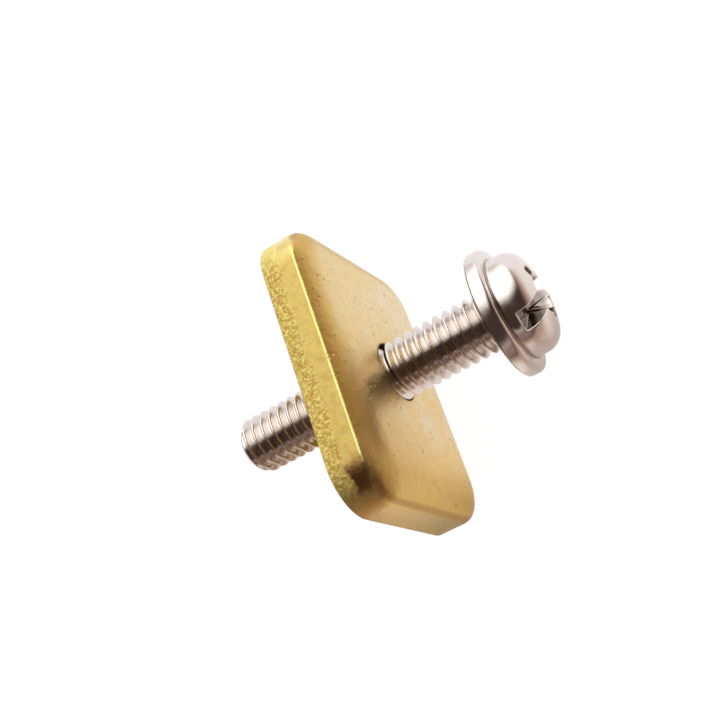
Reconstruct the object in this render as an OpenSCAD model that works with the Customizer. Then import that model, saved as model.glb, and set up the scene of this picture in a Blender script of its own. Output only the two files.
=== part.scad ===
// Machine screw with a washer head, threaded through a small brass plate nut.
// The pair lies as it comes to rest: on one long edge of the plate and on the rim of the flange.
// X runs along the screw with the head at +X, Y along the plate's long side, and Z is up.

/* [Screw] */
// Diameter across the crests of the thread
thread_d = 3.86; // [3.5:0.02:4.4]
// Pitch of the thread
pitch = 0.7; // [0.6:0.02:0.8]
// Depth of the thread, from crest to root
thread_depth = 0.41; // [0.34:0.01:0.44]
// Width of the flat on each crest
crest_flat = 0.1; // [0.06:0.01:0.14]
// Turn of the thread about the screw, seen from the head
thread_turn = 227; // [2:5:357]
// Length of the shank, from under the flange to the tip
shank_len = 18.8; // [17:0.2:24]
// Length of the bevel at the tip, measured along the screw
tip_bevel = 0.55; // [0.3:0.05:0.7]
// Diameter of the flange
flange_d = 8.3; // [7.8:0.1:9.4]
// Thickness of the flange
flange_t = 1; // [0.85:0.05:1.2]
// Radius of the rounding on both edges of the flange's rim
rim_r = 0.35; // [0.2:0.05:0.4]
// Radius of the fillet between the shank and the flange
neck_fillet_r = 0.15; // [0.1:0.05:0.25]

/* [Head] */
// Diameter of the head above the flange
head_d = 6.6; // [6.2:0.1:7]
// Height of the head, from under the flange to the top of the crown
head_h = 3.2; // [3:0.05:3.6]
// Radius of the crown, the shallow dome on top
crown_r = 8; // [7:0.5:12]
// Radius of the shoulder between the crown and the side of the head
shoulder_r = 1.25; // [1:0.05:1.4]
// Radius of the fillet between the head and the flange
head_fillet_r = 0.12; // [0.05:0.01:0.2]

/* [Driver recess] */
// Width of the slot, which runs right across the head
slot_w = 1.2; // [1:0.05:1.3]
// Depth of the slot below the top of the crown
slot_depth = 1.5; // [1.2:0.05:1.6]
// Direction of the slot, seen from the head and counted from the side that lies down
slot_turn = 41; // [0:1:90]
// Span of the cross recess at the top of the crown, wing tip to wing tip
cross_span = 4.1; // [4:0.1:4.8]
// Span of the cross recess at its floor
cross_floor_span = 2; // [2:0.1:2.6]
// Thickness of each wing of the cross recess
cross_wing = 0.8; // [0.7:0.05:1]
// Depth of the cross recess below the top of the crown
cross_depth = 2; // [1.8:0.05:2.1]
// Diameter of the round core of the cross recess at its floor
core_floor_d = 1.2; // [1:0.05:1.4]
// Diameter of the round core of the cross recess at the top of the crown
core_d = 2.7; // [2.2:0.1:3]
// Depth of the point at the bottom of the recess, below the floor of the cross
point_depth = 0.35; // [0.2:0.05:0.4]

/* [Plate nut] */
// Length of the plate, along its long side
plate_len = 18.6; // [17:0.2:22]
// Width of the plate
plate_w = 15; // [13.6:0.2:17]
// Thickness of the plate
plate_t = 3.2; // [2.8:0.1:3.6]
// Radius of the plate's corners, seen from the front
corner_r = 2.9; // [2.7:0.1:4]
// Width of the rolled band along the edges of the front face
roll_w = 2.5; // [1.5:0.1:2.6]
// Drop of the rolled band from the front face to the side wall
roll_h = 0.85; // [0.6:0.05:1.1]
// Break on the edges of the back face
back_break = 0.12; // [0.05:0.01:0.2]
// Gap all round between the crests of the thread and the wall of the plate's hole
thread_gap = 0.05; // [0.03:0.01:0.08]
// Diameter of the countersink at both mouths of the hole
mouth_d = 4.15; // [4.15:0.05:4.8]
// Clear space between the flange and the plate's front face, as photographed
clamp_gap = 7.4; // [6:0.1:8.6]

/* [Hidden] */
$fn = 96;

// How far a cut reaches past the surface that it opens
past = 0.5;

thread_r = thread_d / 2;
flange_r = flange_d / 2;
head_r = head_d / 2;
hole_r = thread_r + thread_gap;
mouth_r = mouth_d / 2;

// Height of the shoulder's centre that makes the shoulder run smoothly into the crown
shoulder_x = head_r - shoulder_r;
shoulder_z = head_h - crown_r + sqrt(pow(crown_r - shoulder_r, 2) - pow(shoulder_x, 2));
// Radius at which the crown meets the shoulder
crown_edge = shoulder_x * crown_r / (crown_r - shoulder_r);

// The rolled band is an arc that leaves the front face smoothly and ends on the side wall
roll_r = (roll_w * roll_w + roll_h * roll_h) / (2 * roll_h);

// Along the screw, with zero under the flange: the plate's front face and its back face
front_z = -clamp_gap;
back_z = front_z - plate_t;

// The thread's groove, from beyond the tip to its run-out under the flange, ring by ring
ring_count = 16;
groove_w = pitch - crest_flat;
root_w = groove_w - 2 * thread_depth * tan(30);
groove_rings = ceil((shank_len + groove_w - pitch / 2) / pitch * ring_count);

// The two lie on the plate's edge, just under the rolled band, and on the flange's upper rim
edge_x = plate_w / 2;
edge_z = front_z - roll_h;
rim_x = flange_r - rim_r;
rim_z = flange_t - rim_r;
reach = norm([edge_x - rim_x, rim_z - edge_z]);
lean = atan2(edge_x - rim_x, rim_z - edge_z) - asin(rim_r / reach);

// Lowest point of the plate, and both ends of the screw, once the pair leans
floor_z = -edge_x * cos(lean) - edge_z * sin(lean);
tip_x = -shank_len * cos(lean) - (thread_r - tip_bevel) * sin(lean);
head_x = shoulder_z * cos(lean) + shoulder_x * sin(lean) + shoulder_r;

// Lays the pair down: local Z runs along the screw to its head, and local X points to the floor
module laid_down() {
    translate([-(tip_x + head_x) / 2, 0, -floor_z]) rotate([0, 90 + lean, 0]) children();
}

// Half of the screw's outline, to the right of its axis
module screw_profile() {
    // Shank with its bevelled tip
    polygon([[0, -shank_len], [thread_r - tip_bevel, -shank_len], [thread_r, tip_bevel - shank_len],
        [thread_r, flange_t / 2], [0, flange_t / 2]]);
    fillet(thread_r, 0, neck_fillet_r, -1);
    // Flange with a rounded rim
    square([rim_x, flange_t]);
    translate([0, rim_r]) square([flange_r, flange_t - 2 * rim_r]);
    for (z = [rim_r, rim_z]) translate([rim_x, z]) circle(r = rim_r);
    // Head with its shoulder and crown
    translate([0, flange_t / 2]) square([head_r, shoulder_z - flange_t / 2]);
    fillet(head_r, flange_t, head_fillet_r, 1);
    translate([shoulder_x, shoulder_z]) circle(r = shoulder_r);
    intersection() {
        translate([0, head_h - crown_r]) circle(r = crown_r, $fn = 2 * $fn);
        translate([0, flange_t / 2]) square([crown_edge, head_h]);
    }
}

// Concave fillet in the corner at radius x and height z, opening upward (up = 1) or downward
module fillet(x, z, r, up) {
    difference() {
        translate([x - r, z + min(up, 0) * r]) square([2 * r, r]);
        translate([x + r, z + up * r]) circle(r = r);
    }
}

// Four corners of the groove's section at one ring: two outside the crests, then two at the root.
// Over the last half turn the section moves out of the shank, as a rolled thread fades.
function groove_ring(i) =
    let (
        turn = thread_turn + 360 * i / ring_count,
        fade = max(0, 1 - (groove_rings - i) / (ring_count / 2)) * (thread_depth + crest_flat),
        outer = [thread_r + crest_flat / 2 + fade, (groove_w + crest_flat * tan(30)) / 2],
        root = [thread_r - thread_depth + fade, root_w / 2],
        z = -shank_len - groove_w / 2 + pitch * i / ring_count
    )
    [for (corner = [[outer[0], -outer[1]], outer, root, [root[0], -root[1]]])
        [corner[0] * cos(turn), corner[0] * sin(turn), z + corner[1]]];

// Right-hand helical groove between the crests, a 60 degree section swept along the shank
module thread_groove() {
    corners = [for (i = [0 : groove_rings]) each groove_ring(i)];
    sides = [for (i = [0 : groove_rings - 1], k = [0 : 3])
        let (a = 4 * i + k, b = 4 * i + (k + 1) % 4)
        each [[a, b, b + 4], [a, b + 4, a + 4]]];
    last = 4 * groove_rings;
    polyhedron(points = corners, faces = concat([[3, 2, 1, 0]], sides, [[last, last + 1, last + 2, last + 3]]),
        convexity = 10);
}

// Cutter for the slot and the cross, with its top above the crown
module driver_recess() {
    cross_z = head_h - cross_depth;
    slope = (cross_span - cross_floor_span) / 2 / cross_depth;
    rotate(slot_turn) {
        translate([-flange_r, -slot_w / 2, head_h - slot_depth]) cube([flange_d, slot_w, slot_depth + past]);
        translate([0, 0, cross_z]) intersection() {
            cylinder(r1 = cross_floor_span / 2, r2 = cross_span / 2 + slope * past, h = cross_depth + past);
            for (turn = [0, 90])
                rotate(turn) translate([-cross_span, -cross_wing / 2, 0])
                    cube([2 * cross_span, cross_wing, cross_depth + past]);
        }
        translate([0, 0, cross_z]) cylinder(d1 = core_floor_d, d2 = core_d, h = cross_depth);
        translate([0, 0, head_h]) cylinder(d = core_d, h = past);
        translate([0, 0, cross_z - point_depth]) cylinder(r1 = 0, r2 = cross_wing / 2, h = point_depth);
    }
}

// Section through the plate's rim, from the centre of a corner out to the side wall
module rim_section() {
    polygon([[0, 0], [corner_r - back_break, 0], [corner_r, back_break],
        [corner_r, plate_t - roll_h], [0, plate_t - roll_h]]);
    square([corner_r - roll_w, plate_t]);
    intersection() {
        translate([corner_r - roll_w, plate_t - roll_r]) circle(r = roll_r);
        translate([0, plate_t / 2]) square([corner_r, plate_t / 2]);
    }
}

// Plate blank from its back face at zero, its front edges rolled over by the blanking press
module plate_blank() {
    half = [plate_w / 2 - corner_r, plate_len / 2 - corner_r];
    translate([-half[0], -half[1], 0]) cube([2 * half[0], 2 * half[1], plate_t]);
    for (side = [0 : 3]) {
        across = half[side % 2];
        along = half[(side + 1) % 2];
        rotate(90 * side) translate([across, 0, 0]) {
            rotate([90, 0, 0]) linear_extrude(2 * along, center = true) rim_section();
            translate([0, along, 0]) rotate_extrude(angle = 90) rim_section();
        }
    }
}

// Hole for the thread, with a countersink at each mouth
module threaded_hole() {
    bevel = mouth_r - hole_r;
    translate([0, 0, -past]) cylinder(r = hole_r, h = plate_t + 2 * past);
    translate([0, 0, -past]) cylinder(r1 = mouth_r + past, r2 = hole_r, h = bevel + past);
    translate([0, 0, plate_t - bevel]) cylinder(r1 = hole_r, r2 = mouth_r + past, h = bevel + past);
}

module screw() {
    color("silver") laid_down() difference() {
        rotate_extrude() screw_profile();
        thread_groove();
        driver_recess();
    }
}

module plate_nut() {
    color("goldenrod") laid_down() translate([0, 0, back_z]) difference() {
        plate_blank();
        threaded_hole();
    }
}

screw();
plate_nut();
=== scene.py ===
"""A steel machine screw with a washer head, threaded through a small brass plate nut.

Every mesh is made in the screw's own frame. Its origin is under the flange on the screw's axis, Z runs
to the head, and X points to the surface that the pair lies on. One matrix then lays the pair down.
"""
import math

import bmesh
import bpy
import numpy as np
from mathutils import Matrix, Vector


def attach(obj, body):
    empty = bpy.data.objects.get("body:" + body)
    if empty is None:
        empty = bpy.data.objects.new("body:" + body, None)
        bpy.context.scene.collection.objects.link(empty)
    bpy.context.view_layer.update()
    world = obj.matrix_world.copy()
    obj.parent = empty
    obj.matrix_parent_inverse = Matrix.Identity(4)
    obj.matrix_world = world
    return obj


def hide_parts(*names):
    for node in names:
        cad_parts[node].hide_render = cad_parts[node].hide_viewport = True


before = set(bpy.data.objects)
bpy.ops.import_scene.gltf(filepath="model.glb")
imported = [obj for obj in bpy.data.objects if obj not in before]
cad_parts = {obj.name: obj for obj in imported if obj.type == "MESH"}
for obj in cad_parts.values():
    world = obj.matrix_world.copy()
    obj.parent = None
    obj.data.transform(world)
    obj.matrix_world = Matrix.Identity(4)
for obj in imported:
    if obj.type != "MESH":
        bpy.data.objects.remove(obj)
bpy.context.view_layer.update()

MM = 0.001

# Thread and shank, with all lengths in metres
pitch = 0.7 * MM
thread_r = 1.93 * MM
thread_depth = 0.41 * MM
crest_flat = 0.08 * MM
shank_len = 18.8 * MM
tip_bevel = 0.55 * MM
neck_fillet = 0.15 * MM
# One point on the thread's crest: its angle, in turns, and its height
crest_turn = 115.8 / 360
crest_height = -3.5665 * MM
# Height at which the last groove has faded out, and the turns that it takes
runout_height = -0.1 * MM
runout_turns = 0.5
# Roundings of crest and root, as shares of the thread's depth, and of the tip's bevel
crest_round = 0.15
root_round = 0.4
bevel_round = 0.06 * MM

# Flange
flange_r = 4.15 * MM
flange_t = 1.0 * MM
rim_r = 0.35 * MM
underside_r = 0.2 * MM

# Head above the flange, with the flare at its foot
head_r = 3.3 * MM
head_h = 3.2 * MM
crown_r = 8 * MM
shoulder_r = 1.25 * MM
flare_h = 0.2 * MM
# The softened head keeps this far inside its sizes, so that no edge stands out of the solid
head_inset = 0.003 * MM

# Driver recess: a slot right across the head, a cross, its round core and a point below
slot_turn = math.radians(41)
slot_w = 1.2 * MM
slot_depth = 1.5 * MM
cross_tip = 2.05 * MM
cross_floor_tip = 1.0 * MM
cross_wing = 0.8 * MM
cross_depth = 2.0 * MM
core_r = 1.35 * MM
core_floor_r = 0.6 * MM
# Roundings between its cuts, and along its edges on the crown
cut_round = 0.08 * MM
recess_edge_round = 0.14 * MM

# Plate nut
plate_len = 18.6 * MM
plate_w = 15 * MM
plate_t = 3.2 * MM
corner_r = 2.9 * MM
roll_w = 2.5 * MM
roll_h = 0.85 * MM
# Reach of the small rounding between rolled band and side wall: on the long sides, then elsewhere
edge_soft = 0.1 * MM
end_soft = 0.5 * MM
back_break = 0.12 * MM
hole_r = 1.98 * MM
mouth_r = 2.075 * MM
# Clear space between the flange and the plate's front face
clamp_gap = 7.4 * MM
# Share of the side wall's height that is torn
torn_share = 0.45

front_height = -clamp_gap
back_height = front_height - plate_t
wall_top = front_height - roll_h

# Centre of the head's rounded shoulder
shoulder_x = head_r - shoulder_r
shoulder_z = head_h - crown_r + math.sqrt((crown_r - shoulder_r) ** 2 - shoulder_x ** 2)

# The pair lies on the plate's long edge and on the rim of the flange, with its middle at the origin
foot = (plate_w / 2, wall_top)
rim = (flange_r - rim_r, flange_t - rim_r)
reach = math.hypot(foot[0] - rim[0], rim[1] - foot[1])
lean = math.atan2(foot[0] - rim[0], rim[1] - foot[1]) - math.asin(rim_r / reach)
plate_low = -foot[0] * math.cos(lean) - foot[1] * math.sin(lean)
tip_x = -shank_len * math.cos(lean) - (thread_r - tip_bevel) * math.sin(lean)
head_x = shoulder_z * math.cos(lean) + shoulder_x * math.sin(lean) + shoulder_r
laid_down = Matrix.Translation((-(tip_x + head_x) / 2, 0, -plate_low)) @ Matrix.Rotation(
    math.pi / 2 + lean, 4, "Y")


# Meshes

def piece(name, points, faces, body, node, finish, work=None):
    """A smooth mesh made in the screw's frame, edited by work, laid down and riding on its CAD body."""
    mesh = bpy.data.meshes.new(name)
    mesh.from_pydata([tuple(p) for p in points], [], faces)
    mesh.update()
    if work:
        grid = bmesh.new()
        grid.from_mesh(mesh)
        work(grid)
        grid.to_mesh(mesh)
        grid.free()
    mesh.transform(laid_down)
    mesh.shade_smooth()
    made = bpy.data.objects.new(name, mesh)
    bpy.context.scene.collection.objects.link(made)
    made.data.materials.append(finish)
    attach(made, body)
    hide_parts(node)
    return made


def mark_points(made, name, values):
    """Stores one number for each point of a mesh, for its material to read."""
    layer = made.data.attributes.new(name, "FLOAT", "POINT")
    layer.data.foreach_set("value", np.ascontiguousarray(values, np.float32).reshape(-1))


def smooth_max(a, b, width):
    """The larger of two arrays, with the corner between them rounded over a width."""
    blend = np.maximum(width - np.abs(a - b), 0)
    return np.maximum(a, b) + blend * blend / (4 * width)


def smooth_min(a, b, width):
    return -smooth_max(-a, -b, width)


def ease(value, start, end):
    """0 up to start, 1 from end, smooth between them."""
    share = np.clip((value - start) / (end - start), 0, 1)
    return share * share * (3 - 2 * share)


def thread_surface(turn, height):
    """Radius of the shank at an angle, in turns, and a height along the screw."""
    # Turns of thread between the known point on the crest and this place: whole numbers are on a crest
    course = (height - crest_height) / pitch - (turn - crest_turn)
    from_crest = np.abs(course - np.round(course)) * pitch
    flank = thread_depth * math.tan(math.radians(30))
    fall = (from_crest - crest_flat / 2) / flank
    fall = smooth_min(smooth_max(fall, 0, crest_round), 1, root_round)
    # Which groove this place is in, counted in turns along the screw
    groove = np.round(course - 0.5) + turn - crest_turn + 0.5
    last_groove = (runout_height - crest_height) / pitch
    radius = thread_r - thread_depth * fall * ease(last_groove - groove, 0, runout_turns)
    radius = smooth_min(radius, thread_r - tip_bevel + height + shank_len, bevel_round)
    rise = np.clip(height + neck_fillet, 0, neck_fillet)
    return radius + neck_fillet - np.sqrt(neck_fillet ** 2 - rise ** 2)


def make_shank(finish):
    """The threaded shank, its rows running along the helix so that every crest is one clean line."""
    columns = 96
    rows_per_pitch = 16
    least_r = 0.3 * MM
    # Strength of the painted shade at the root of the grooves
    groove_shade = 0.25
    # Steps of the dent in the tip's end face: how far in, and how far along the screw
    tip_dent = ((0.12 * MM, 0), (0.1 * MM, -0.05 * MM), (0.35 * MM, -0.09 * MM), (0.3 * MM, -0.03 * MM))
    # The rows run from beyond the tip into the flange, and both ends are then cut flat
    top = 0.5 * flange_t
    start = -shank_len - 1.3 * pitch
    rows = int((top - start) / pitch * rows_per_pitch) + 2
    turn = np.arange(columns)[:, None] / columns
    height = start + pitch * (turn + np.arange(rows)[None, :] / rows_per_pitch)
    radius = np.maximum(thread_surface(turn, height), least_r)
    angle = 2 * math.pi * turn
    points = np.stack([radius * np.cos(angle), radius * np.sin(angle), height], -1)
    # The last column meets the first one a whole pitch further along
    faces = []
    for i in range(columns):
        lap = rows_per_pitch if i == columns - 1 else 0
        near = i * rows
        far = (i + 1) % columns * rows + lap
        for j in range(rows - 1 - lap):
            faces.append((near + j, far + j, far + j + 1, near + j + 1))

    def close_ends(grid):
        for cut_height, direction in ((-shank_len, -1), (top, 1)):
            whole = grid.verts[:] + grid.edges[:] + grid.faces[:]
            bmesh.ops.bisect_plane(grid, geom=whole, dist=1e-8, clear_outer=True,
                                   plane_co=(0, 0, cut_height), plane_no=(0, 0, direction))
            rim_edges = [e for e in grid.edges if e.is_boundary
                         and all(abs(v.co.z - cut_height) < 1e-7 for v in e.verts)]
            cap = bmesh.ops.contextual_create(grid, geom=rim_edges)["faces"]
            if direction < 0:
                for inset, sink in tip_dent:
                    bmesh.ops.inset_region(grid, faces=cap, thickness=inset, depth=sink)
        bmesh.ops.recalc_face_normals(grid, faces=grid.faces[:])
        # Painted shade in the grooves, deeper toward the root
        sunk = grid.verts.layers.float.new("sunk")
        for vert in grid.verts:
            vert[sunk] = groove_shade * min((thread_r - vert.co.xy.length) / thread_depth, 1)

    piece("screw_shank", points.reshape(-1, 3), faces, "screw", "screw", finish, close_ends)


def lathe(profile, count):
    """Points and faces of a solid turned from (radius, height) pairs that start and end on the axis."""
    angle = np.arange(count) * 2 * math.pi / count
    points = [(0, 0, profile[0][1])]
    for radius, height in profile[1:-1]:
        points += [(radius * math.cos(a), radius * math.sin(a), height) for a in angle]
    points.append((0, 0, profile[-1][1]))
    rings = len(profile) - 2
    faces = []
    for i in range(count):
        j = (i + 1) % count
        faces.append((0, 1 + j, 1 + i))
        for k in range(rings - 1):
            low = 1 + k * count
            faces.append((low + i, low + j, low + count + j, low + count + i))
        last = 1 + (rings - 1) * count
        faces.append((last + i, last + j, len(points) - 1))
    return points, faces


def arc(centre, radius, first, last, count):
    """Points on an arc in the half section, angles in degrees from the outward direction."""
    return [(centre[0] + radius * math.cos(a), centre[1] + radius * math.sin(a))
            for a in np.radians(np.linspace(first, last, count))]


def make_flange(finish):
    """The forged washer with its rounded rim, with painted shade underneath and in the corner by the
    head.
    """
    flat_points = 14
    arc_points = 10
    sides = 160
    corner_reach = 0.12 * MM
    underside_reach = 0.13 * MM
    profile = [(0, 0)]
    low = (flange_r - underside_r, underside_r)
    profile += [(r, 0) for r in np.linspace(0.5 * thread_r, low[0], flat_points)[:-1]]
    profile += arc(low, underside_r, -90, 0, arc_points)
    profile += arc(rim, rim_r, 0, 90, arc_points)
    profile += [(r, flange_t) for r in np.linspace(rim[0], 0.5 * head_r, flat_points)[1:]]
    profile += [(0, flange_t)]
    points, faces = lathe(profile, sides)
    flange = piece("screw_flange", points, faces, "screw", "screw", finish)
    x, y, height = np.array(points).T
    # Painted shade underneath the flange and in its corner by the head
    by_head = (height > 0.99 * flange_t) & (np.hypot(x, y) < head_r + corner_reach)
    mark_points(flange, "sunk", 0.9 * (by_head | (height < underside_reach)))


def head_body(p):
    """Distance-like field of the head above the flange before the recess is cut: below zero inside."""
    r = np.hypot(p[..., 0], p[..., 1])
    z = p[..., 2]
    crown = np.hypot(r, z - head_h + crown_r) - crown_r
    side = r - head_r
    out, up = r - shoulder_x, z - shoulder_z
    lean_out = shoulder_x / (crown_r - shoulder_r)
    on_shoulder = (up > 0) & (out > up * lean_out / math.sqrt(1 - lean_out ** 2))
    body = np.where(on_shoulder, np.hypot(out, up) - shoulder_r, np.maximum(crown, side))
    flare = side - np.clip(flange_t + flare_h - z, 0, flare_h) ** 2 / flare_h * 0.5
    body = np.where(z < flange_t + flare_h, flare, body)
    # The foot reaches a little way into the flange
    body = np.maximum(body, flange_t - flare_h - z)
    return body + head_inset


def head_form(p):
    """The same field with the slot and the cross cut into it."""
    r = np.hypot(p[..., 0], p[..., 1])
    z = p[..., 2]
    along = p[..., 0] * math.cos(slot_turn) + p[..., 1] * math.sin(slot_turn)
    across = p[..., 1] * math.cos(slot_turn) - p[..., 0] * math.sin(slot_turn)
    # Factors that make distances of how far a place is past the wing tips and the point
    tip_slope = 0.87
    point_out = 0.57
    point_down = 0.82
    slot = smooth_max(np.abs(across) - slot_w / 2, head_h - slot_depth - z, cut_round)
    cross_floor = head_h - cross_depth
    rise = (z - cross_floor) / cross_depth
    tips = r - cross_floor_tip - (cross_tip - cross_floor_tip) * rise
    wings = np.minimum(np.abs(along), np.abs(across)) - cross_wing / 2
    cross = smooth_max(smooth_max(wings, tips * tip_slope, cut_round), cross_floor - z, cut_round)
    core = smooth_max(r - core_floor_r - (core_r - core_floor_r) * rise, cross_floor - z, cut_round)
    cone = r * point_out + (cross_floor - z) * point_down - point_out * cross_wing / 2
    point = np.maximum(cone, z - cross_floor)
    middle = smooth_min(core, point, cut_round)
    recess = smooth_min(smooth_min(slot, cross, cut_round), middle, cut_round)
    return smooth_max(head_body(p), -recess, recess_edge_round)


def skin(form, low, high, step):
    """Points and quads of the surface where a field is zero, one point to each cell that it crosses."""
    axes = [np.arange(a, b + step, step) for a, b in zip(low, high)]
    grid = np.stack(np.meshgrid(*axes, indexing="ij"), -1)
    inside = form(grid) < 0
    cells = tuple(n - 1 for n in inside.shape)
    filled = np.zeros(cells, int)
    for corner in range(8):
        i, j, k = corner & 1, corner >> 1 & 1, corner >> 2
        filled += inside[i:i + cells[0], j:j + cells[1], k:k + cells[2]]
    crossed = (filled > 0) & (filled < 8)
    index = np.full(cells, -1)
    index[crossed] = np.arange(crossed.sum())
    # From the middle of its cell each point slides down the field's slope onto the surface
    points = grid[:-1, :-1, :-1][crossed] + step / 2
    nudge = 0.02 * step
    slides = 6
    flattest = 0.1
    for _ in range(slides):
        value = form(points)
        slope = np.stack([form(points + nudge * unit) - value for unit in np.eye(3)], -1) / nudge
        points = points - slope * (value / np.maximum((slope ** 2).sum(-1), flattest))[:, None]
    # One quad round each grid edge that runs from inside to outside
    faces = []
    for a in range(3):
        order = (a, (a + 1) % 3, (a + 2) % 3)
        solid = inside.transpose(order)
        cell = index.transpose(order)
        i, j, k = np.nonzero(solid[1:, 1:-1, 1:-1] != solid[:-1, 1:-1, 1:-1])
        ring = (cell[i, j, k], cell[i, j + 1, k], cell[i, j + 1, k + 1], cell[i, j, k + 1])
        quads = np.stack(ring, -1)
        outward = solid[i, j + 1, k + 1]
        faces += quads[outward].tolist() + quads[~outward][:, ::-1].tolist()
    return points, faces


def make_head(finish):
    """The forged head with its softly rounded slot and cross, with painted shade in the recess and at
    the foot.
    """
    cell = 0.041 * MM
    shade_depth = 0.5 * MM
    margin = 0.1 * MM
    low = (-head_r - 2 * margin, -head_r - 2 * margin, flange_t - 3 * margin)
    high = (head_r + 2 * margin, head_r + 2 * margin, head_h + margin)
    points, faces = skin(head_form, low, high, cell)
    head = piece("screw_head", points, faces, "screw", "screw", finish)
    # Painted shade, deeper down in the recess, and at the head's foot
    recess_shade = np.clip(-head_body(points) / shade_depth, 0, 1)
    foot_shade = 0.8 * (points[:, 2] < flange_t + margin)
    mark_points(head, "sunk", np.maximum(recess_shade, foot_shade))


def plate_outline(step):
    """Points round the foot of the plate's side wall, and the outward direction at each."""
    points, outward = [], []
    for quarter in range(4):
        across = (plate_w, plate_len)[quarter % 2] / 2 - corner_r
        along = (plate_len, plate_w)[quarter % 2] / 2 - corner_r
        turn = np.array(Matrix.Rotation(quarter * math.pi / 2, 2))
        straight = np.linspace(-along, along, int(2 * along / step))[:-1]
        points += [turn @ (across + corner_r, y) for y in straight]
        outward += [turn @ (1, 0) for _ in straight]
        for angle in np.linspace(0, math.pi / 2, int(math.pi / 2 * corner_r / step))[:-1]:
            way = np.array((math.cos(angle), math.sin(angle)))
            points.append(turn @ ((across, along) + corner_r * way))
            outward.append(turn @ way)
    return np.array(points), np.array(outward)


def make_plate(finish):
    """The blanked plate: rolled front edges, burnished and torn wall, tapped hole with broken edges.

    It is built from rings of points, from the hole's front mouth outward, down the wall, across the back
    and up the hole. Each ring carries four marks for the brass:
    roll goes from 0 to 1 down the rolled band;
    wall goes from 0 to 1 over the small rounding, to 2 down the side wall, and is 3 on the back;
    edge is above 0 along the crisp long edges and below 0 along the softer ones;
    hole is 1 in the hole.
    """
    face_rings = 22
    roll_rings = 24
    edge_rings = 8
    wall_rings = 24
    back_rings = 18
    hole_rings = 6
    wall_line, outward = plate_outline(0.1 * MM)
    count = len(wall_line)
    angle = np.arctan2(wall_line[:, 1], wall_line[:, 0])
    on_end = ease(np.abs(outward[:, 1]), 0.1, 0.7)
    soft = edge_soft + (end_soft - edge_soft) * on_end
    rings, marks = [], []

    def add(ring, roll=0, wall=0, edge=0, hole=0):
        rings.append(ring)
        marks.append([np.broadcast_to(mark, count) for mark in (roll, wall, edge, hole)])

    def plate_ring(inset, height):
        inset = np.broadcast_to(inset, count)
        return np.column_stack([wall_line - outward * inset[:, None], np.broadcast_to(height, count)])

    def hole_ring(radius, height):
        return np.column_stack([radius * np.cos(angle), radius * np.sin(angle), np.full(count, height)])

    roll_r = (roll_w ** 2 + roll_h ** 2) / (2 * roll_h)
    mouth, inner = hole_ring(mouth_r, front_height), plate_ring(roll_w, front_height)
    for t in np.linspace(0, 1, face_rings):
        add(mouth + (inner - mouth) * t)
    for t in np.linspace(0, 1, roll_rings)[1:]:
        inset = roll_w + (soft - roll_w) * t
        drop = roll_r - np.sqrt(roll_r ** 2 - (roll_w - inset) ** 2)
        add(plate_ring(inset, front_height - drop), roll=t)
    # The small rounding runs on from the last of the band's rings
    for t in np.linspace(0, 1, edge_rings)[1:]:
        height = (front_height - drop) * (1 - t) ** 2 + wall_top * (1 - (1 - t) ** 2) - soft * t * t
        add(plate_ring(soft * (1 - t) ** 2, height), 1 - t, t, math.sin(math.pi * t) * (1 - 2 * on_end))
    wall_low = back_height + back_break
    for t in np.linspace(0, 1, wall_rings)[1:]:
        height = wall_top - soft + (wall_low - wall_top + soft) * t
        add(plate_ring(0, height), wall=1 + (wall_top - height) / (wall_top - wall_low))
    add(plate_ring(0.3 * back_break, back_height + 0.3 * back_break), wall=2)
    back_inner, back_mouth = plate_ring(back_break, back_height), hole_ring(mouth_r, back_height)
    for t in np.linspace(0, 1, back_rings):
        add(back_inner + (back_mouth - back_inner) * t, wall=3)
    bevel = mouth_r - hole_r
    for height in np.linspace(back_height + bevel, front_height - bevel, hole_rings):
        add(hole_ring(hole_r, height), hole=1)
    faces = []
    for k in range(len(rings)):
        here, there = k * count, (k + 1) % len(rings) * count
        for i in range(count):
            j = (i + 1) % count
            faces.append((here + i, there + i, there + j, here + j))
    plate = piece("brass_plate", np.concatenate(rings), faces, "plate", "plate_nut", finish)
    for name, values in zip(("roll", "wall", "edge", "hole"), np.array(marks).transpose(1, 0, 2)):
        mark_points(plate, name, values)


# Materials

class Socket:
    """One output of a node. Sums, differences and products add Math nodes behind it."""

    def __init__(self, sheet, link):
        self.sheet = sheet
        self.link = link

    def maths(self, operation, first, second):
        return self.sheet.add("Math", {"operation": operation}, {0: first, 1: second})

    def larger(self, other):
        return self.maths("MAXIMUM", self, other)

    def __add__(self, other):
        return self.maths("ADD", self, other)

    __radd__ = __add__

    def __sub__(self, other):
        return self.maths("SUBTRACT", self, other)

    def __rsub__(self, other):
        return self.maths("SUBTRACT", other, self)

    def __mul__(self, other):
        return self.maths("MULTIPLY", self, other)

    __rmul__ = __mul__


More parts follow.
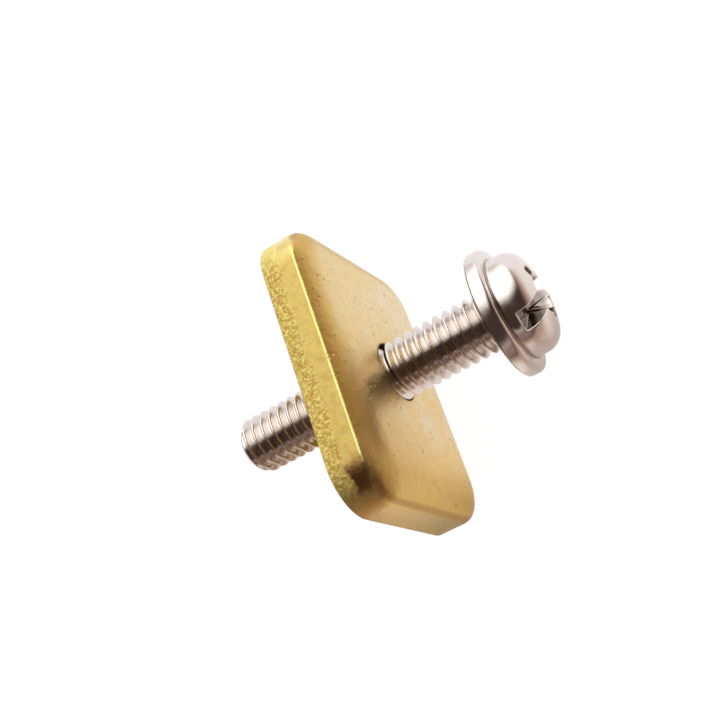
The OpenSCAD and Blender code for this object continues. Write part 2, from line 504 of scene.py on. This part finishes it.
class Sheet:
    """The nodes of one material or world."""

    def __init__(self, owner):
        owner.use_nodes = True
        self.tree = owner.node_tree
        self.tree.nodes.clear()

    def add(self, kind, settings=None, values=None, output=0):
        """A node by its type, with its settings first and then the values or links of its sockets."""
        node = self.tree.nodes.new("ShaderNode" + kind)
        for name, setting in (settings or {}).items():
            if name == "stops":
                ramp = node.color_ramp.elements
                while len(ramp) < len(setting):
                    ramp.new(0.5)
                for stop, (place, colour) in zip(ramp, setting):
                    stop.position = place
                    stop.color = (*colour, 1)
            else:
                setattr(node, name, setting)
        for name, value in (values or {}).items():
            if isinstance(value, Socket):
                self.tree.links.new(value.link, node.inputs[name])
            else:
                node.inputs[name].default_value = value
        return Socket(self, node.outputs[output])

    def place(self):
        """Coordinates of the mesh, in metres, with the pair lying at rest."""
        return self.add("TexCoord", output="Object")

    def along(self, axis):
        """The place along X, Y or Z, in metres."""
        return self.add("SeparateXYZ", {}, {0: self.place()}, output=axis)

    def mark(self, name):
        return self.add("Attribute", {"attribute_name": name}, output="Fac")

    def grain(self, size, detail=2, roughness=0.5):
        """Noise from 0 to 1 whose blotches are about as large as a size in metres."""
        return self.add("TexNoise", {}, {"Vector": self.place(), "Scale": 1 / size,
                                         "Detail": detail, "Roughness": roughness}, output="Fac")

    def fade(self, value, start, end):
        """0 up to start, 1 from end, smooth between them."""
        return self.add("MapRange", {"interpolation_type": "SMOOTHSTEP"},
                        {"Value": value, "From Min": start, "From Max": end})

    def zone(self, value, start, full, last, end):
        """1 from full to last, 0 up to start and from end, smooth between them."""
        return self.fade(value, start, full) * (1 - self.fade(value, last, end))

    def mix(self, share, first, second):
        """The first colour where share is 0, the second where it is 1."""
        return self.add("Mix", {"data_type": "RGBA"}, {0: share, 6: first, 7: second}, output=2)

    def bump(self, height, depth, under=None):
        """A normal whose surface rises by depth metres where height is 1."""
        values = {"Strength": 1, "Distance": depth, "Height": height}
        if under:
            values["Normal"] = under
        return self.add("Bump", {}, values)

    def close(self, surface):
        output = self.tree.nodes.new("ShaderNodeOutput" + ("World" if self.is_world else "Material"))
        self.tree.links.new(surface.link, output.inputs["Surface"])


class MaterialSheet(Sheet):
    is_world = False


class WorldSheet(Sheet):
    is_world = True


def rgb(red, green, blue):
    """A shader colour from the 0 to 255 values that a picture shows."""
    shown = [v / 255 for v in (red, green, blue)]
    return (*[v / 12.92 if v < 0.04 else ((v + 0.055) / 1.055) ** 2.4 for v in shown], 1)


def bright_steel():
    """Bright steel with faint smudges, and painted shade in dark brown where the shade mark is set:
    grooves, recess and corners.
    """
    material = bpy.data.materials.new("bright_steel")
    sheet = MaterialSheet(material)
    smudge = sheet.grain(1.6 * MM, 3)
    colour = sheet.mix(smudge, rgb(222, 213, 207), rgb(236, 228, 223))
    # Painted shade: darker brown by the mark, in the grooves, the recess, the head's foot and round the
    # flange
    colour = sheet.mix(sheet.mark("sunk") * 0.75, colour, rgb(96, 76, 62))
    scratch = sheet.grain(0.09 * MM, 3, 0.6)
    roughness = 0.1 + 0.12 * sheet.fade(smudge, 0.4, 0.7)
    surface = sheet.add("BsdfPrincipled", {}, {
        "Metallic": 1.0, "Base Color": colour, "Roughness": roughness,
        "Normal": sheet.bump(scratch, 0.004 * MM)})
    sheet.close(surface)
    return material


def tumbled_brass():
    """Brass with a soft, pitted front and a burnished and torn wall, told apart by the plate's marks,
    with painted light and shade on band, edges, ends, back and hole.
    """
    material = bpy.data.materials.new("tumbled_brass")
    sheet = MaterialSheet(material)
    height = sheet.along("Z")
    low_end = sheet.along("Y") * -1.0
    roll = sheet.mark("roll")
    wall = sheet.mark("wall")
    edge = sheet.mark("edge")
    on_wall = sheet.fade(wall, 0.4, 0.9)
    cloud = sheet.grain(2.6 * MM, 3)
    mottle = sheet.grain(0.45 * MM, 4, 0.6)

    # The torn part of the wall, with a ragged upper limit, fades out at the corner of the low end
    ragged = sheet.grain(0.7 * MM, 4, 0.6)
    tear = sheet.grain(0.2 * MM, 5, 0.7)
    tear_start = 2 - torn_share
    torn = sheet.fade(wall + (ragged - 0.5) * 0.5, tear_start - 0.06, tear_start + 0.06) * on_wall
    torn = torn * (1 - 0.85 * sheet.fade(low_end, 7.6 * MM, 9.2 * MM))

    # Front: clouded, warmer toward the top and the low end, with painted shade in brown on the rolled
    # band
    face = sheet.mix(sheet.fade(cloud, 0.35, 0.65), rgb(240, 218, 160), rgb(243, 228, 190))
    face = sheet.mix(sheet.fade(height, 4 * MM, 12 * MM) * 0.6, face, rgb(241, 211, 138))
    face = sheet.mix(sheet.fade(low_end, 3 * MM, 8 * MM), face, rgb(232, 202, 122))
    # Painted shade in brown down the rolled band
    rolled = sheet.fade(roll, 0.2, 0.9) * (1 - sheet.fade(low_end, 4.5 * MM, 7 * MM))
    face = sheet.mix(rolled, face, rgb(219, 180, 96))
    face = sheet.mix(sheet.fade(mottle, 0.35, 0.7) * 0.18, face, rgb(196, 160, 96))

    # Wall: burnished band, painted shade at the low corner, torn band with painted glints, painted light
    # at both ends
    side = sheet.mix(sheet.fade(mottle, 0.4, 0.7), rgb(180, 157, 90), rgb(168, 143, 80))
    # Painted shade in brown at the corner of the low end, where the wall reflects a dark patch
    corner = sheet.zone(low_end, 6.2 * MM, 7.4 * MM, 8.2 * MM, 9.1 * MM)
    side = sheet.mix(corner * 0.8, side, rgb(190, 142, 92))
    # Torn grain: a mottled tone, with painted glints where the grain rises and painted shade in its
    # hollows
    torn_glint_and_shade = sheet.mix(sheet.fade(tear, 0.4, 0.62), rgb(212, 174, 82), rgb(255, 240, 152))
    side = sheet.mix(torn, side, torn_glint_and_shade)
    # Painted light: the low end's wall lighter, more so higher up, with painted shade toward its foot
    end_wall_light = sheet.fade(low_end, 8.4 * MM, 9.2 * MM) * sheet.fade(height, 3 * MM, 11 * MM)
    side = sheet.mix(end_wall_light, side, rgb(222, 190, 118))
    # Painted highlight on the wall at the far end
    far_end_highlight = sheet.fade(low_end * -1.0, 6.2 * MM, 8.4 * MM)
    side = sheet.mix(far_end_highlight * 0.9, side, rgb(253, 240, 160))
    colour = sheet.mix(on_wall, face, side)

    # Pits in the front, painted highlight along the long edges and painted shade along the short ones,
    # painted shade on the back and in the hole
    specks = sheet.fade(sheet.grain(0.34 * MM), 0.6, 0.72)
    pit = specks * sheet.fade(ragged, 0.5, 0.62) * (1 - on_wall)
    colour = sheet.mix(pit * 0.45, colour, rgb(160, 118, 62))
    # Painted highlight along the crisp long edges
    colour = sheet.mix(sheet.fade(edge, 0.2, 0.8), colour, rgb(247, 228, 142))
    # Painted shade along the softer short edges
    colour = sheet.mix(sheet.fade(edge * -1.0, 0.5, 1.0) * 0.5, colour, rgb(160, 112, 60))
    # Painted shade on the back, which faces away from the light
    colour = sheet.mix(sheet.fade(wall, 2.2, 2.8), colour, rgb(212, 180, 110))
    # Painted shade in the hole
    colour = sheet.mix(sheet.mark("hole"), colour, rgb(70, 44, 22))

    # Relief, from broad swells to the torn grain
    relief = sheet.bump(sheet.grain(1.1 * MM), 0.03 * MM)
    relief = sheet.bump(mottle, 0.03 * MM, relief)
    relief = sheet.bump(sheet.grain(0.06 * MM, 3), 0.002 * MM, relief)
    relief = sheet.bump(pit * -1.0, 0.04 * MM, relief)
    relief = sheet.bump(tear * torn, 0.07 * MM, relief)
    roughness = 0.36 + 0.08 * cloud + 0.36 * torn - 0.08 * on_wall
    surface = sheet.add("BsdfPrincipled", {}, {
        "Metallic": 1 - 0.25 * torn, "Base Color": colour, "Roughness": roughness, "Normal": relief})
    sheet.close(surface)
    return material


def seen_directly(sheet):
    """1 for rays that see the studio itself, from the camera, in a reflection or through glass.

    The second value is 1 for reflections alone.
    """
    camera = sheet.add("LightPath", output="Is Camera Ray")
    glossy = sheet.add("LightPath", output="Is Glossy Ray")
    through = sheet.add("LightPath", output="Is Transmission Ray")
    return camera.larger(glossy).larger(through), glossy


def pale_floor(toward_camera):
    """White to the camera. In reflections it shows painted light and shadow beside the part and painted
    darkness near the camera.
    """
    material = bpy.data.materials.new("pale_floor")
    sheet = MaterialSheet(material)
    seen, glossy = seen_directly(sheet)
    ahead = sheet.along("X")
    behind = ahead * -1.0
    beside = sheet.along("Y")
    left = beside * -1.0
    near = sheet.add("VectorMath", {"operation": "DOT_PRODUCT"}, {0: sheet.place(), 1: toward_camera},
                     output="Value")

    # Painted light and shadow bands from left to right, seen only in reflections
    across = sheet.add("MapRange", {}, {"Value": beside, "From Min": -40 * MM, "From Max": 10 * MM})
    stops = [(0.0, (0.3, 0.2, 0.17)), (0.36, (1.0, 0.9, 0.8)), (0.54, (0.76, 0.66, 0.58)),
             (0.63, (0.55, 0.45, 0.38)), (0.7, (0.95, 0.85, 0.8)), (1.0, (0.97, 0.95, 0.97))]
    painted_floor_tone = sheet.add("ValToRGB", {"stops": stops}, {"Fac": across})

    # Painted patches of light and shadow on the floor, which the end wall, the head, the face under the
    # shank and the tip reflect
    before_end = sheet.fade(ahead, -1 * MM, 3 * MM) * sheet.fade(left, 6 * MM, 8 * MM)
    painted_floor_tone = sheet.mix(before_end, painted_floor_tone, (0.98, 0.9, 0.84, 1))
    by_head = sheet.zone(ahead, 3 * MM, 6 * MM, 9.5 * MM, 12 * MM) * sheet.fade(left, -1 * MM, 1 * MM)
    painted_floor_tone = sheet.mix(by_head, painted_floor_tone, (0.56, 0.47, 0.44, 1))
    under_shank = sheet.zone(ahead, -2 * MM, 1 * MM, 7 * MM, 10 * MM) * (
        sheet.zone(left, -6 * MM, -3 * MM, 0, 3 * MM))
    painted_floor_tone = sheet.mix(under_shank, painted_floor_tone, (0.92, 0.84, 0.78, 1))
    under_tip = sheet.zone(behind, 3.5 * MM, 7 * MM, 9 * MM, 12 * MM) * (
        sheet.zone(left, 0, 3 * MM, 7 * MM, 9 * MM))
    far_left = sheet.fade(behind, 12.5 * MM, 14 * MM) * sheet.fade(left, 5 * MM, 11 * MM)
    painted_floor_tone = sheet.mix(under_tip.larger(far_left), painted_floor_tone, (0.38, 0.24, 0.16, 1))

    # Painted dark reflection toward the camera, brown and then nearly black
    painted_floor_tone = sheet.mix(sheet.fade(near, 8 * MM, 18 * MM), painted_floor_tone, (0.45, 0.3, 0.22, 1))
    painted_floor_tone = sheet.mix(sheet.fade(near, 18 * MM, 35 * MM), painted_floor_tone, (0.12, 0.05, 0.045, 1))
    painted_floor_tone = sheet.mix(glossy, (0.97, 0.97, 0.97, 1), painted_floor_tone)
    lit = sheet.add("BsdfDiffuse", {}, {"Color": (0.1, 0.1, 0.1, 1)})
    glow = sheet.add("Emission", {}, {"Color": painted_floor_tone, "Strength": seen})
    sheet.close(sheet.add("AddShader", {}, {0: lit, 1: glow}))
    return material


# The camera stands where the photograph was taken from: place and directions in the screw's frame
camera_place = Vector((-61.880, -27.790, 15.914)) * MM
camera_up = Vector((-0.22715, 0.86115, 0.45477))
camera_back = Vector((-0.84522, -0.40630, 0.34718))
picture_width = 720
focal_pixels = 1142.9

# The square lamp, and how far it is turned from the camera's direction toward uphill
lamp_turn = math.radians(66)
lamp_side = 0.2
lamp_distance = 0.22
lamp_watts = 0.055
# Half the width of the floor
floor_reach = 1.5


def make_camera():
    """The camera, and its directions right, up and back in the frame."""
    camera = bpy.data.cameras.new("camera")
    camera.sensor_width = 36
    camera.lens = focal_pixels * camera.sensor_width / picture_width
    camera.clip_start = 0.002
    camera.clip_end = 10
    view = bpy.data.objects.new("camera", camera)
    bpy.context.scene.collection.objects.link(view)
    turn = laid_down.to_3x3()
    up, back = (turn @ camera_up).normalized(), (turn @ camera_back).normalized()
    right = up.cross(back).normalized()
    up = back.cross(right)
    view.matrix_world = Matrix.Translation(laid_down @ camera_place) @ Matrix(
        (right, up, back)).transposed().to_4x4()
    bpy.context.scene.camera = view
    return right, up, back


def make_floor(toward_camera):
    reach = floor_reach
    mesh = bpy.data.meshes.new("floor")
    mesh.from_pydata([(-reach, -reach, 0), (reach, -reach, 0), (reach, reach, 0), (-reach, reach, 0)],
                     [], [(0, 1, 2, 3)])
    mesh.materials.append(pale_floor(tuple(toward_camera)))
    floor = bpy.data.objects.new("floor", mesh)
    bpy.context.scene.collection.objects.link(floor)


def make_lamp(way):
    lamp = bpy.data.lights.new("softbox", "AREA")
    lamp.shape = "RECTANGLE"
    lamp.size = lamp_side
    lamp.size_y = lamp_side
    lamp.energy = lamp_watts
    softbox = bpy.data.objects.new("softbox", lamp)
    bpy.context.scene.collection.objects.link(softbox)
    softbox.matrix_world = Matrix.Translation(way * lamp_distance) @ way.to_track_quat(
        "Z", "Y").to_matrix().to_4x4()


def make_surroundings(uphill, back):
    """White to the camera. In reflections there is a window above, a dark room round it, brown below."""
    world = bpy.data.worlds.new("studio")
    bpy.context.scene.world = world
    sheet = WorldSheet(world)
    direction = sheet.add("TexCoord", output="Generated")

    def toward(axis):
        """How far a direction points along an axis, from -1 to 1."""
        return sheet.add("VectorMath", {"operation": "DOT_PRODUCT"}, {0: direction, 1: tuple(axis)},
                         output="Value")

    seen, glossy = seen_directly(sheet)
    rise, front = toward(uphill), toward(back)
    window = sheet.mix(sheet.fade(front, -0.5, 0), (0.78, 0.73, 0.71, 1), (1.6, 1.57, 1.52, 1))
    room = sheet.mix(sheet.fade(front, -0.2, 0.3), (0.25, 0.19, 0.16, 1), (0.06, 0.036, 0.029, 1))
    below = 1 - sheet.fade(rise, -0.72, -0.55)
    around = 1 - below - sheet.fade(rise, 0.3, 0.7)
    colour = sheet.mix(below, window, (0.3, 0.2, 0.17, 1))
    colour = sheet.mix(around, colour, room)
    colour = sheet.mix(glossy, (1, 1, 1, 1), colour)
    plain = sheet.add("Background", {}, {"Color": (1, 1, 1, 1), "Strength": 0.55})
    shown = sheet.add("Background", {}, {"Color": colour, "Strength": 1.0})
    sheet.close(sheet.add("MixShader", {}, {0: seen, 1: plain, 2: shown}))


def make_studio(right, up, back):
    """Pale floor, one soft lamp up and to the left, and the surroundings."""
    # Up and to the left in the picture
    uphill = (-0.6 * right + 0.8 * up).normalized()
    make_floor(Vector((back.x, back.y, 0)).normalized())
    make_lamp(back * math.cos(lamp_turn) + uphill * math.sin(lamp_turn))
    make_surroundings(uphill, back)


steel = bright_steel()
brass = tumbled_brass()
make_shank(steel)
make_flange(steel)
make_head(steel)
make_plate(brass)
make_studio(*make_camera())

bpy.context.scene.view_settings.view_transform = "Standard"
